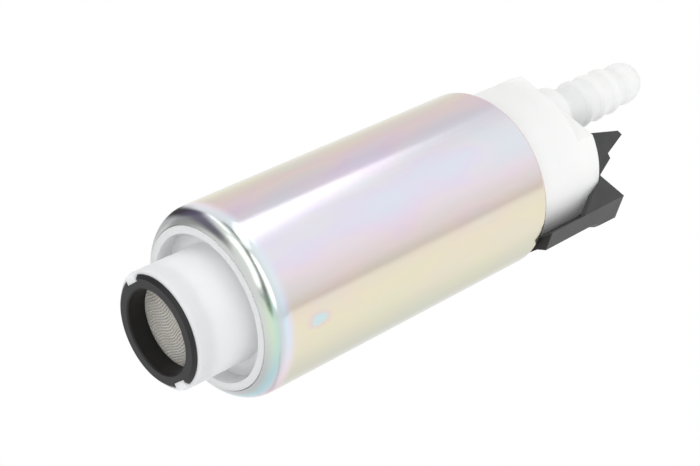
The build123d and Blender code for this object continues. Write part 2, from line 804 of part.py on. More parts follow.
# Outlet cover: flange, round cap, hose barb and the relief valve's boss in one moulding
boss_end = cover_end + relief_boss_height
relief_seat = cavity_roof + seat_height - 0.5
barb_sink = 1.0
barb_neck = barb_radius - barb_rise
barb_edge = 0.4
first_crest = cover_end + barb_first
nose_z = first_crest + barb_count * barb_pitch
with BuildPart() as outlet_cover:
    with BuildSketch(Plane.XZ):
        with BuildLine():
            Polyline(
                (0, cavity_roof),
                (cavity_radius, cavity_roof),
                (cavity_radius, flange_z),
                (flange_radius, flange_z),
                (flange_radius, seal_rear_z - seal_half),
                (seal_r - seal_half, seal_rear_z - seal_half),
                (seal_r - seal_half, seal_rear_z + seal_half),
                (flange_radius, seal_rear_z + seal_half),
                (flange_radius, flange_top),
                (cover_radius, flange_top),
                (cover_radius, cover_end),
                (0, cover_end),
                close=True,
            )
        make_face()
    revolve(axis=Axis.Z)
    # Flat step beside the hose barb
    with BuildSketch(Plane.XY.offset(cover_end - step_height)):
        with Locations(Location((0, 0, 0), step_angle)):
            with Locations((2 * cover_radius - step_cut, 0)):
                Rectangle(2 * cover_radius, 2 * cover_radius)
    extrude(amount=step_height, mode=Mode.SUBTRACT)
    chamfer(outlet_cover.faces().sort_by(Axis.Z)[-1].edges(), cover_edge)
    # Hose barb: each barb is steep towards the cover and tapers to the next
    with BuildSketch(Plane(origin=(barb_x, barb_y, 0), x_dir=(1, 0, 0), z_dir=(0, -1, 0))):
        with BuildLine():
            outline = [
                (barb_bore, cover_end - barb_sink),
                (barb_base, cover_end - barb_sink),
                (barb_base, cover_end + barb_base_height),
                (barb_neck, cover_end + barb_base_height + 2 * barb_rise),
            ]
            for i in range(barb_count):
                crest = first_crest + i * barb_pitch
                crest_radius = barb_radius - i * barb_fall
                outline += [
                    (crest_radius - barb_rise, crest - 2 * barb_rise),
                    (crest_radius, crest),
                ]
            outline += [
                (nose_radius - barb_edge, nose_z - 2 * barb_rise),
                (nose_radius, nose_z),
            ]
            Polyline(outline)
            RadiusArc(
                (nose_radius, nose_z),
                (barb_bore + barb_edge, barb_tip_z),
                -(barb_tip_z - nose_z),
            )
            Polyline(
                (barb_bore + barb_edge, barb_tip_z),
                (barb_bore, barb_tip_z - barb_edge),
                (barb_bore, cover_end - barb_sink),
            )
        make_face()
    revolve(axis=Axis((barb_x, barb_y, 0), (0, 0, 1)))
    # Boss of the relief valve
    with BuildSketch(Plane.XY.offset(cover_end - barb_sink)):
        with Locations((barb_x, relief_y)):
            Circle(relief_boss)
    extrude(amount=relief_boss_height + barb_sink)
    # Valve chambers, ports and the barb's bore
    with Locations((barb_x, barb_y, cavity_roof)):
        Cylinder(
            chamber_radius,
            chamber_top - cavity_roof,
            align=(Align.CENTER, Align.CENTER, Align.MIN),
            mode=Mode.SUBTRACT,
        )
        Cylinder(
            barb_bore,
            barb_tip_z - cavity_roof,
            align=(Align.CENTER, Align.CENTER, Align.MIN),
            mode=Mode.SUBTRACT,
        )
    with Locations((barb_x, relief_y, boss_end)):
        CounterBoreHole(relief_port, relief_bore, boss_end - relief_seat)
    # Slots for the terminal blades
    with BuildSketch(Plane.XY.offset(cavity_roof)):
        with Locations((blade_x, -blade_y), (blade_x, blade_y)):
            Rectangle(blade_width + 2 * fit_gap, blade_wall + 2 * fit_gap)
    extrude(amount=cover_roof, mode=Mode.SUBTRACT)
outlet_cover.part.label = "outlet_cover"
export_step(outlet_cover.part, "parts/outlet_cover.step")

# Check valve in the barb's root: pressed seat, cone-faced poppet and spring
with BuildPart() as check_seat:
    with BuildSketch(Plane(origin=(barb_x, barb_y, 0), x_dir=(1, 0, 0), z_dir=(0, -1, 0))):
        with BuildLine():
            Polyline(
                (seat_bore, cavity_roof),
                (chamber_radius - press_fit, cavity_roof),
                (chamber_radius - press_fit, cavity_roof + seat_height),
                (seat_bore + seat_cone, cavity_roof + seat_height),
                (seat_bore, cavity_roof + seat_height - seat_cone),
                close=True,
            )
        make_face()
    revolve(axis=Axis((barb_x, barb_y, 0), (0, 0, 1)))
check_seat.part.label = "check_seat"
export_step(check_seat.part, "parts/check_seat.step")

poppet_z = cavity_roof + seat_height + running_gap
poppet_shoulder = poppet_z + poppet_height
poppet_nose = 0.6
cone_gap = 0.05
rib_count = 3
rib_cut = 0.9
with BuildPart() as check_poppet:
    with BuildSketch(Plane(origin=(barb_x, barb_y, 0), x_dir=(1, 0, 0), z_dir=(0, -1, 0))):
        with BuildLine():
            Polyline(
                (0, poppet_z - seat_cone + cone_gap),
                (seat_bore + cone_gap, poppet_z - seat_cone + cone_gap),
                (seat_bore + seat_cone, poppet_z),
                (poppet_radius, poppet_z),
                (poppet_radius, poppet_shoulder),
                (poppet_stem, poppet_shoulder),
                (poppet_stem, poppet_shoulder + poppet_stem_height),
                (0, poppet_shoulder + poppet_stem_height + poppet_nose),
                close=True,
            )
        make_face()
    revolve(axis=Axis((barb_x, barb_y, 0), (0, 0, 1)))
    with BuildSketch(Plane.XY.offset(poppet_z)):
        with Locations((barb_x, barb_y)):
            with PolarLocations(poppet_radius, rib_count):
                Circle(rib_cut)
    extrude(amount=poppet_height, mode=Mode.SUBTRACT)
check_poppet.part.label = "check_poppet"
export_step(check_poppet.part, "parts/check_poppet.step")
spring(
    "check_spring",
    barb_x,
    barb_y,
    poppet_shoulder + spring_gap,
    chamber_top - spring_gap,
    (chamber_radius + poppet_stem) / 2,
    check_wire,
    check_turns,
)

# Relief valve: ball on its port, spring and a pressed cap with a vent
ball_z = relief_seat + sqrt((relief_ball_radius + running_gap) ** 2 - relief_port**2)
touch_radius = relief_ball_radius + relief_wire / 2
relief_spring_z = ball_z + sqrt(touch_radius**2 - relief_spring_radius**2)
relief_cap_z = boss_end - relief_cap_height
relief_vent = 0.9
with BuildPart() as relief_valve_ball:
    with Locations((barb_x, relief_y, ball_z)):
        Sphere(relief_ball_radius)
relief_valve_ball.part.label = "relief_ball"
export_step(relief_valve_ball.part, "parts/relief_ball.step")
spring(
    "relief_spring",
    barb_x,
    relief_y,
    relief_spring_z - relief_wire / 2 + spring_gap,
    relief_cap_z - spring_gap,
    relief_spring_radius,
    relief_wire,
    relief_turns,
)
with BuildPart() as relief_cap:
    with Locations((barb_x, relief_y, relief_cap_z)):
        Cylinder(
            relief_bore - press_fit,
            relief_cap_height,
            align=(Align.CENTER, Align.CENTER, Align.MIN),
        )
    with Locations((barb_x, relief_y, boss_end)):
        Hole(relief_vent, relief_cap_height)
    chamfer(relief_cap.edges().filter_by(GeomType.CIRCLE).group_by(Axis.Z)[-1], relief_vent / 3)
relief_cap.part.label = "relief_cap"
export_step(relief_cap.part, "parts/relief_cap.step")

# Connector: plate along the cover, base over its end, guards, gussets and lock teeth
plate_z = housing_rear + plate_start
plate_top = cover_end + plate_end
base_top = cover_end + base_height
guard_top = cover_end + guard_height
web_top = cover_end + web_height
web_share = (web_top - base_top) / (guard_top - base_top)
web_top_x = guard_foot_x + web_share * (guard_tip_x + guard_tip_width - guard_foot_x)
corner_slope = plate_corner / plate_wall
corner_reach = plate_outer + 2 * tooth_height
tooth_root = 0.5
with BuildPart() as connector:
    # Plate beside the cover
    with BuildSketch(Plane.XY.offset(plate_z)):
        with Locations(((plate_inner + plate_outer) / 2, 0)):
            Rectangle(plate_wall, 2 * plate_half_width)
    extrude(amount=plate_top - plate_z)
    # Recess between the plate's side rails
    with BuildSketch(Plane.XY.offset(plate_z)):
        with BuildLine():
            Polyline(
                (plate_outer - recess_depth, -recess_half_width),
                (plate_outer, -recess_half_width - recess_slope),
                (plate_outer, recess_half_width + recess_slope),
                (plate_outer - recess_depth, recess_half_width),
                close=True,
            )
        make_face()
    extrude(amount=cover_end - recess_top - plate_z, mode=Mode.SUBTRACT)
    # Base over the cover's end face
    with BuildSketch(Plane.XY.offset(cover_end)):
        with Locations(((base_inner + plate_inner) / 2, 0)):
            Rectangle(plate_inner - base_inner, 2 * plate_half_width)
    extrude(amount=base_height)
    # Each side: a tall pointed guard, a notch and a gusset that runs down to the plate
    for side in (-1, 1):
        wall_plane = Plane(
            origin=(0, side * plate_half_width, 0),
            x_dir=(1, 0, 0),
            z_dir=(0, -1, 0),
        )
        with BuildSketch(wall_plane):
            with BuildLine():
                Polyline(
                    (base_inner, cover_end),
                    (base_inner, cover_end + guard_back_height),
                    (guard_tip_x, guard_top - guard_tip_fall),
                    (guard_tip_x + guard_tip_width, guard_top),
                    (guard_foot_x, base_top),
                    (guard_foot_x, cover_end),
                    close=True,
                )
            make_face()
            with BuildLine():
                Polyline(
                    (notch_x, base_top),
                    (plate_inner, plate_top),
                    (plate_inner + gusset_lap, plate_top),
                    (plate_inner + gusset_lap, cover_end - gusset_depth),
                    (plate_inner, cover_end - gusset_depth),
                    close=True,
                )
            make_face()
        extrude(amount=side * guard_wall)
        # Web along the guard's edge, set back from its outer face
        with BuildSketch(wall_plane.offset(side * web_setback)):
            with BuildLine():
                Polyline(
                    (guard_foot_x, cover_end),
                    (web_top_x, web_top),
                    (web_top_x + web_width, web_top),
                    (notch_x, base_top),
                    (notch_x, cover_end),
                    close=True,
                )
            make_face()
        extrude(amount=side * (guard_wall - web_setback))
    # Lock teeth: a long ramp from the inlet's side, up to the plate's end
    for side in (-1, 1):
        tooth_width = plate_half_width - tooth_start
        tooth_plane = Plane(
            origin=(0, side * (tooth_start + tooth_width / 2), 0),
            x_dir=(1, 0, 0),
            z_dir=(0, -1, 0),
        )
        with BuildSketch(tooth_plane):
            with BuildLine():
                Polyline(
                    (plate_outer - tooth_root, plate_top - tooth_length),
                    (plate_outer, plate_top - tooth_length),
                    (plate_outer + tooth_height, plate_top - tooth_length + tooth_ramp),
                    (plate_outer + tooth_height + tooth_rise, plate_top),
                    (plate_outer - tooth_root, plate_top),
                    close=True,
                )
            make_face()
        extrude(amount=tooth_width / 2, both=True)
    # Outer corners of the plate, the gussets and the teeth, cut to one slanted face
    with BuildSketch(Plane.XY.offset(plate_z)):
        for side in (-1, 1):
            with BuildLine():
                Polyline(
                    (plate_inner, side * plate_half_width),
                    (
                        corner_reach,
                        side * (plate_half_width - corner_slope * (corner_reach - plate_inner)),
                    ),
                    (corner_reach, side * (plate_half_width + 1)),
                    (plate_inner, side * (plate_half_width + 1)),
                    close=True,
                )
            make_face()
    extrude(amount=plate_top - plate_z, mode=Mode.SUBTRACT)
    # Saddle round the cover
    with Locations((0, 0, plate_z)):
        Cylinder(
            cover_radius + saddle_gap,
            cover_end - plate_z,
            align=(Align.CENTER, Align.CENTER, Align.MIN),
            mode=Mode.SUBTRACT,
        )
    # Slots for the blades
    with BuildSketch(Plane.XY.offset(cover_end)):
        with Locations((blade_x, -blade_y), (blade_x, blade_y)):
            Rectangle(blade_width + 2 * fit_gap, blade_wall + 2 * fit_gap)
    extrude(amount=base_height, mode=Mode.SUBTRACT)
connector.part.label = "connector"
export_step(connector.part, "parts/connector.step")

# Square rubber rings between the covers and the housing
for name, height in (("inlet_seal", seal_front_z), ("outlet_seal", seal_rear_z)):
    with BuildPart() as seal:
        with BuildSketch(Plane.XZ):
            with Locations((seal_r, height)):
                Rectangle(seal_side, seal_side)
        revolve(axis=Axis.Z)
    seal.part.label = name
    export_step(seal.part, f"parts/{name}.step")
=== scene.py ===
"""Looks of the in-tank fuel pump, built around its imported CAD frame.

Metres, in the row frame: the pump stands on its inlet ring at z = 0 and its axis is Z.
The photograph looks at the inlet end from below, so the camera stands under the floor.
"""

import json
from math import cos, hypot, pi, radians, sin, sqrt

import bpy
from mathutils import Matrix, Vector

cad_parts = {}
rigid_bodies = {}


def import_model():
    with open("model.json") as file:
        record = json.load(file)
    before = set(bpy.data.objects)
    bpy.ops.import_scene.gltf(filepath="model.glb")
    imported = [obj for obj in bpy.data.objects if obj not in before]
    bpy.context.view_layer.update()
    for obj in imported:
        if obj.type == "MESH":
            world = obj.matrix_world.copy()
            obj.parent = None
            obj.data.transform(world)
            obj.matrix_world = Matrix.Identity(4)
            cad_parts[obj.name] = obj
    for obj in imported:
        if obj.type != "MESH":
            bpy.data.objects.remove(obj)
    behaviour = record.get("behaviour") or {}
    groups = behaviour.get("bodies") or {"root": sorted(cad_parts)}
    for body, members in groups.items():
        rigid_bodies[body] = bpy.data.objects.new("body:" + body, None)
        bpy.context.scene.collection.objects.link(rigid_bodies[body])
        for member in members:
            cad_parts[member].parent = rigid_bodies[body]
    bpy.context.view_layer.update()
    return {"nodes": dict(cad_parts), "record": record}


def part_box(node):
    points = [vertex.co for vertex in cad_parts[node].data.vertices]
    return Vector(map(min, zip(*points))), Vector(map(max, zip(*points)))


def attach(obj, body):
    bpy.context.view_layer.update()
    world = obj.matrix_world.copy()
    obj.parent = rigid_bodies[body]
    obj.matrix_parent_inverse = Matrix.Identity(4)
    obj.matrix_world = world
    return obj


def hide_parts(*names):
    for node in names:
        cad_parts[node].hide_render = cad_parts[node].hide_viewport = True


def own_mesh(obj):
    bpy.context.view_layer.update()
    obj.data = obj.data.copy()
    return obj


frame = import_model()
nodes = frame["nodes"]

# Places on the pieces where their finish changes, in metres
EDGE_FILM = 0.006          # height over which the film of the housing's front edge is drawn
REAR_LINE_START = 0.0012   # from the housing's rear edge to the pinkish line
REAR_LINE_FULL = 0.0004
SPOT_FROM_AXIS = 0.019     # the small worn spot, on the housing's side
SPOT_HEIGHT = 0.0225
SPOT_ANGLE = radians(-57)
SPOT_HALO = (0.0021, 0.0012)   # radii where its violet halo starts and is full
SPOT_BLUE = (0.0013, 0.0007)   # radii where its blue starts and is full
SPOT_RAGGED = 0.0006       # how far its edge runs in and out
GROOVE_SHADE_START = 0.0122        # radius from which shade is painted into the groove round the inlet neck
GROOVE_SHADE_FADE = 0.0014
SHADED_BORE = 0.00835        # just over the radius of the black ring's bore, where shade is painted darker
BORE_FADE = 0.0002
PLATE_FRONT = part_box("connector")[0].z + 0.0002   # just behind the front of its plate, where shade is painted darker
PLATE_FADE = 0.0001

# Shares of a material's second colour that are left where shade is painted: in the groove round the
# inlet neck and in the black plastics' darker places
GROOVE_SHADE_SHARE = 0.92
PAINTED_SHADE_SHARE = 0.3

# Values of a noise between which it goes from none to full
CLOUDS = (0.35, 0.65)
GRAIN = (0.3, 0.7)


# Node tools
class Tree:
    """Short calls for building one node tree."""

    def __init__(self, tree):
        tree.nodes.clear()
        self.tree = tree

    def add(self, kind, **settings):
        """A node of that kind, with its settings."""
        node = self.tree.nodes.new(kind)
        for name, value in settings.items():
            setattr(node, name, value)
        return node

    def link(self, output, target):
        """Joins an output to an input, or sets the input to a plain value."""
        if isinstance(output, bpy.types.NodeSocket):
            self.tree.links.new(output, target)
        else:
            target.default_value = output

    def math(self, operation, *values, clamp=False):
        """Result of a Math node on sockets or numbers."""
        node = self.add("ShaderNodeMath", operation=operation, use_clamp=clamp)
        for value, target in zip(values, node.inputs):
            self.link(value, target)
        return node.outputs[0]

    def vector_math(self, operation, *values, result="Vector"):
        """Result of a Vector Math node on sockets or triples."""
        node = self.add("ShaderNodeVectorMath", operation=operation)
        for value, target in zip(values, node.inputs):
            self.link(value, target)
        return node.outputs[result]

    def scaled(self, vector, factor):
        """A vector times a factor."""
        node = self.add("ShaderNodeVectorMath", operation="SCALE")
        self.link(vector, node.inputs[0])
        self.link(factor, node.inputs["Scale"])
        return node.outputs["Vector"]

    def split(self, vector):
        """X, Y and Z of a vector."""
        node = self.add("ShaderNodeSeparateXYZ")
        self.link(vector, node.inputs[0])
        return node.outputs

    def stretched(self, vector, factors):
        """A vector with each of its parts times a factor of its own."""
        node = self.add("ShaderNodeMapping")
        self.link(vector, node.inputs["Vector"])
        node.inputs["Scale"].default_value = factors
        return node.outputs["Vector"]

    def step(self, value, low, high):
        """0 at low, 1 at high, and smooth between them; low may be the larger."""
        node = self.add("ShaderNodeMapRange", interpolation_type="SMOOTHSTEP")
        self.link(value, node.inputs["Value"])
        node.inputs["From Min"].default_value = low
        node.inputs["From Max"].default_value = high
        return node.outputs["Result"]

    def scale(self, value, low, high, to_low, to_high):
        """Straight mapping of one range onto another."""
        node = self.add("ShaderNodeMapRange")
        self.link(value, node.inputs["Value"])
        node.inputs["From Min"].default_value = low
        node.inputs["From Max"].default_value = high
        node.inputs["To Min"].default_value = to_low
        node.inputs["To Max"].default_value = to_high
        return node.outputs["Result"]

    def window(self, value, low, high, soft):
        """1 between low and high, falling to 0 over soft at each side."""
        rise = self.step(value, low - soft, low + soft)
        fall = self.step(value, high - soft, high + soft)
        return self.math("SUBTRACT", rise, fall)

    def ramp(self, value, stops, smooth="LINEAR"):
        """Colour ramp through (place, colour) stops."""
        node = self.add("ShaderNodeValToRGB")
        node.color_ramp.interpolation = smooth
        elements = node.color_ramp.elements
        while len(elements) < len(stops):
            elements.new(0.5)
        for element, (place, colour) in zip(elements, stops):
            element.position = place
            element.color = (*colour, 1)
        self.link(value, node.inputs["Fac"])
        return node.outputs["Color"]

    def mix(self, factor, first, second):
        """Mix of two colours."""
        node = self.add("ShaderNodeMix", data_type="RGBA", blend_type="MIX")
        self.link(factor, node.inputs["Factor"])
        for value, target in ((first, node.inputs["A"]), (second, node.inputs["B"])):
            self.link((*value, 1) if isinstance(value, tuple) else value, target)
        return node.outputs["Result"]

    def noise(self, vector, scale, detail=2.0, roughness=0.5, stretch=None):
        """Noise with about scale features in a metre, fewer where stretch is under 1."""
        if stretch:
            vector = self.stretched(vector, stretch)
        node = self.add("ShaderNodeTexNoise")
        self.link(vector, node.inputs["Vector"])
        node.inputs["Scale"].default_value = scale
        node.inputs["Detail"].default_value = detail
        node.inputs["Roughness"].default_value = roughness
        return node.outputs["Fac"]

    def bump(self, height, distance, strength=1.0, normal=None):
        """Bump from a height, with its depth in metres."""
        node = self.add("ShaderNodeBump")
        self.link(height, node.inputs["Height"])
        node.inputs["Distance"].default_value = distance
        node.inputs["Strength"].default_value = strength
        if normal is not None:
            self.link(normal, node.inputs["Normal"])
        return node.outputs["Normal"]


def material(name, **values):
    """Material with a principled shader; values set its constant sockets."""
    made = bpy.data.materials.new(name)
    made.use_nodes = True
    tree = Tree(made.node_tree)
    shader = tree.add("ShaderNodeBsdfPrincipled")
    output = tree.add("ShaderNodeOutputMaterial")
    tree.link(shader.outputs[0], output.inputs["Surface"])
    for socket, value in values.items():
        shader.inputs[socket.replace("_", " ")].default_value = value
    place = tree.add("ShaderNodeTexCoord").outputs["Object"]
    return made, tree, shader.inputs, place


def turn_share(tree, split):
    """Angle round the pump's axis as a share of a full turn, from -X through -Y to -X."""
    angle = tree.math("ARCTAN2", split["Y"], split["X"])
    return tree.scale(angle, -pi, pi, 0, 1)


def share(degrees_round):
    """Place on a ramp over a full turn of an angle in degrees from -180 to 180."""
    return (degrees_round + 180) / 360


def from_axis(tree, split):
    """Distance from the pump's axis."""
    squares = [tree.math("MULTIPLY", split[part], split[part]) for part in ("X", "Y")]
    return tree.math("SQRT", tree.math("ADD", *squares))


def clouded(tree, place, colour, shade, size, detail, roughness, spread):
    """Two colours that change over in clouds."""
    clouds = tree.noise(place, size, detail, roughness)
    return tree.mix(tree.scale(clouds, *spread, 0, 1), colour, shade)


def grained(tree, place, sockets, size, detail, roughness, rough_range, depth, strength):
    """Fine grain, which varies the shader's roughness and raises a bump of that depth."""
    grain = tree.noise(place, size, detail, roughness)
    tree.link(tree.scale(grain, *GRAIN, *rough_range), sockets["Roughness"])
    tree.link(tree.bump(grain, depth, strength), sockets["Normal"])


# Camera at the photograph's viewing angle
PHOTO_WIDTH = 700
FOCAL_PIXELS = 1679.508
SENSOR = 36.0
camera_place = (-0.0012733, -0.2636093, -0.1478021)
camera_right = Vector((0.427377, -0.540247, 0.724901))
camera_up = Vector((-0.904073, -0.255388, 0.342678))
camera_back = camera_right.cross(camera_up)
camera_turn = Matrix((camera_right, camera_up, camera_back)).transposed().to_4x4()
camera_data = bpy.data.cameras.new("camera")
camera_data.sensor_fit = "HORIZONTAL"
camera_data.sensor_width = SENSOR
camera_data.lens = FOCAL_PIXELS * SENSOR / PHOTO_WIDTH
camera_data.clip_start = 0.01
camera = bpy.data.objects.new("camera", camera_data)
bpy.context.scene.collection.objects.link(camera)
camera.matrix_world = Matrix.Translation(camera_place) @ camera_turn
bpy.context.scene.camera = camera
bpy.context.scene.view_settings.view_transform = "Standard"


# The film's colours round the body, in soft bands with faint patches
def body_film(tree, turn, place):
    drift = tree.noise(place, 60, 3, 0.6, (1, 1, 0.25))
    wobble = tree.scale(drift, 0, 1, -0.02, 0.02)
    placed = tree.math("ADD", turn, wobble)
    bands = [
        (share(-180), (0.80, 0.80, 0.70)),
        (share(-168), (0.68, 0.69, 0.49)),
        (share(-158), (0.64, 0.58, 0.43)),
        (share(-148), (0.72, 0.58, 0.54)),
        (share(-139), (0.73, 0.60, 0.67)),
        (share(-130), (0.64, 0.56, 0.69)),
        (share(-113), (0.82, 0.83, 0.93)),
        (share(-98), (0.80, 0.79, 0.92)),
        (share(-87), (0.84, 0.73, 0.84)),
        (share(-74), (0.80, 0.69, 0.70)),
        (share(-66), (0.85, 0.76, 0.62)),
        (share(-56), (0.87, 0.80, 0.60)),
        (share(-42), (0.82, 0.77, 0.60)),
        (share(-28), (0.74, 0.75, 0.56)),
        (share(-12), (0.74, 0.74, 0.64)),
        (share(20), (0.86, 0.76, 0.76)),
        (share(55), (0.78, 0.72, 0.84)),
        (share(90), (0.80, 0.82, 0.90)),
        (share(115), (0.88, 0.84, 0.66)),
        (share(140), (0.78, 0.82, 0.66)),
        (share(160), (0.84, 0.72, 0.70)),
        (share(180), (0.80, 0.80, 0.70)),
    ]
    colour = tree.ramp(placed, bands, "B_SPLINE")
    patches = tree.noise(place, 140, 2, 0.45, (1, 1, 0.35))
    film = tree.ramp(
        patches,
        [
            (0.32, (0.66, 0.84, 0.92)),
            (0.44, (0.86, 0.68, 0.86)),
            (0.54, (0.92, 0.82, 0.66)),
            (0.68, (0.68, 0.88, 0.68)),
        ],
    )
    patchy = tree.scale(turn, share(-80), share(-60), 0.18, 0.09)
    return tree.mix(patchy, colour, film)


# The rolled front edge is cooler, with green, blue and violet rings that differ by side
def rolled_edge_film(tree, turn, along):
    green = tree.ramp(
        along,
        [
            (0.0, (0.82, 0.84, 0.82)),
            (0.14, (0.82, 0.96, 0.76)),
            (0.22, (0.74, 0.98, 0.78)),
            (0.31, (0.70, 0.90, 0.84)),
            (0.38, (0.80, 0.87, 0.88)),
            (0.54, (0.74, 0.87, 0.98)),
            (0.75, (0.80, 0.80, 0.96)),
        ],
    )
    cool = tree.ramp(
        along,
        [
            (0.0, (0.80, 0.83, 0.81)),
            (0.3, (0.83, 0.88, 0.84)),
            (0.5, (0.80, 0.88, 0.90)),
            (0.75, (0.78, 0.84, 0.93)),
        ],
    )
    warm = tree.ramp(
        along,
        [
            (0.05, (0.66, 0.68, 0.69)),
            (0.14, (0.60, 0.78, 0.80)),
            (0.24, (0.58, 0.82, 0.92)),
            (0.34, (0.74, 0.77, 0.80)),
            (0.5, (0.92, 0.76, 0.86)),
            (0.75, (0.90, 0.80, 0.76)),
        ],
    )
    violet = tree.ramp(
        along,
        [
            (0.05, (0.80, 0.82, 0.80)),
            (0.3, (0.78, 0.77, 0.86)),
            (0.45, (0.80, 0.84, 0.88)),
            (0.6, (0.86, 0.80, 0.86)),
            (0.8, (0.86, 0.72, 0.80)),
        ],
    )
    low_side = tree.window(turn, share(-44), share(60), 0.06)
    rolled = tree.mix(tree.step(turn, share(-86), share(-74)), cool, green)
    rolled = tree.mix(low_side, rolled, warm)
    away_from_top = tree.window(turn, share(-138), share(140), 0.04)
    return tree.mix(away_from_top, violet, rolled)


# A small worn spot near the front, where the film shows blue inside a violet halo
def with_worn_spot(tree, place, colour):
    middle = (SPOT_FROM_AXIS * cos(SPOT_ANGLE), SPOT_FROM_AXIS * sin(SPOT_ANGLE), SPOT_HEIGHT)
    away = tree.stretched(tree.vector_math("SUBTRACT", place, middle), (1, 1, 0.55))
    reach = tree.vector_math("LENGTH", away, result="Value")
    ragged = tree.scale(tree.noise(place, 900, 3), 0, 1, -SPOT_RAGGED, SPOT_RAGGED)
    ragged_reach = tree.math("ADD", reach, ragged)
    halo = tree.step(ragged_reach, *SPOT_HALO)
    worn = tree.step(ragged_reach, *SPOT_BLUE)
    colour = tree.mix(tree.math("MULTIPLY", halo, 0.45), colour, (0.78, 0.64, 0.74))
    return tree.mix(tree.math("MULTIPLY", worn, 0.8), colour, (0.62, 0.84, 0.86))


# Zinc plated steel with an iridescent passivation
def zinc_steel():
    made, tree, sockets, place = material("zinc_iridescent", Metallic=1.0)
    split = tree.split(place)
    turn = turn_share(tree, split)
    height = split["Z"]
    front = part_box("housing")[0].z
    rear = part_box("housing")[1].z
    colour = body_film(tree, turn, place)
    along = tree.scale(height, front, front + EDGE_FILM, 0, 1)
    colour = tree.mix(tree.step(along, 0.95, 0.55), colour, rolled_edge_film(tree, turn, along))
    rear_line = tree.step(height, rear - REAR_LINE_START, rear - REAR_LINE_FULL)
    colour = tree.mix(tree.math("MULTIPLY", rear_line, 0.6), colour, (0.80, 0.58, 0.52))
    tree.link(with_worn_spot(tree, place, colour), sockets["Base Color"])
    # Drawing lines along the tube, soft waves, a fine peel and a fine grain
    lines = tree.noise(place, 2600, 2, 0.6, (1, 1, 0.02))
    grain = tree.noise(place, 5200, 2, 0.6)
    waves = tree.noise(place, 90, 2, 0.5)
    peel = tree.noise(place, 1100, 2, 0.5, (1, 1, 0.5))
    line_rough = tree.scale(lines, *GRAIN, 0.11, 0.17)
    grain_rough = tree.scale(grain, *GRAIN, -0.02, 0.03)
    tree.link(tree.math("ADD", line_rough, grain_rough), sockets["Roughness"])
    relief = tree.bump(lines, 0.000004, 0.5)
    relief = tree.bump(waves, 0.00006, 0.35, relief)
    relief = tree.bump(peel, 0.00001, 0.5, relief)
    tree.link(tree.bump(grain, 0.000003, 0.5, relief), sockets["Normal"])
    return made


# Natural white moulded plastic, with painted shade beyond a radius if one is given
def white_plastic(name, colour, shade, clear_share, clear_depth, shaded_from=None):
    made, tree, sockets, place = material(
        name,
        IOR=1.48,
        Subsurface_Weight=clear_share,
        Subsurface_Scale=clear_depth,
        Subsurface_Radius=(1.0, 0.95, 0.9),
    )
    body = clouded(tree, place, colour, shade, 120, 3, 0.5, CLOUDS)
    if shaded_from:
        radius = from_axis(tree, tree.split(place))
        # Painted shade: the white darkens into the groove round the inlet neck
        groove_shade = tree.step(radius, shaded_from, shaded_from + GROOVE_SHADE_FADE)
        body = tree.mix(groove_shade, body, tuple(GROOVE_SHADE_SHARE * value for value in shade))
    tree.link(body, sockets["Base Color"])
    grained(tree, place, sockets, 3800, 3, 0.6, (0.34, 0.46), 0.000005, 0.5)
    return made


# Black moulded plastic, with painted shade below a height or within a radius if one is given
def black_plastic(name, colour, shade, rough_range, shaded_below=None, shaded_within=None):
    made, tree, sockets, place = material(name, IOR=1.5)
    body = clouded(tree, place, colour, shade, 260, 3, 0.55, CLOUDS)
    painted_shade = tuple(PAINTED_SHADE_SHARE * value for value in shade)
    split = tree.split(place)
    if shaded_below:
        # Painted shade on the front of the connector's plate
        body = tree.mix(tree.step(split["Z"], shaded_below + PLATE_FADE, shaded_below), body, painted_shade)
    if shaded_within:
        radius = from_axis(tree, split)
        # Painted shade in the black ring's bore
        body = tree.mix(tree.step(radius, shaded_within + BORE_FADE, shaded_within), body, painted_shade)
    tree.link(body, sockets["Base Color"])
    grained(tree, place, sockets, 5200, 3, 0.65, rough_range, 0.000012, 0.6)
    return made


# Bare or plated metals of the inner pieces and the wires
def plain_metal(name, colour, shade, rough_range, grain_size=2400, metallic=1.0):
    made, tree, sockets, place = material(name, Metallic=metallic)
    body = clouded(tree, place, colour, shade, 300, 3, 0.6, GRAIN)
    tree.link(body, sockets["Base Color"])
    grained(tree, place, sockets, grain_size, 3, 0.6, rough_range, 0.000006, 0.5)
    return made


# Dull non-metals of the inner pieces
def dull(name, colour, shade, rough_range, depth):
    made, tree, sockets, place = material(name)
    body = clouded(tree, place, colour, shade, 420, 4, 0.6, GRAIN)
    tree.link(body, sockets["Base Color"])
    grained(tree, place, sockets, 3000, 4, 0.7, rough_range, depth, 0.7)
    return made


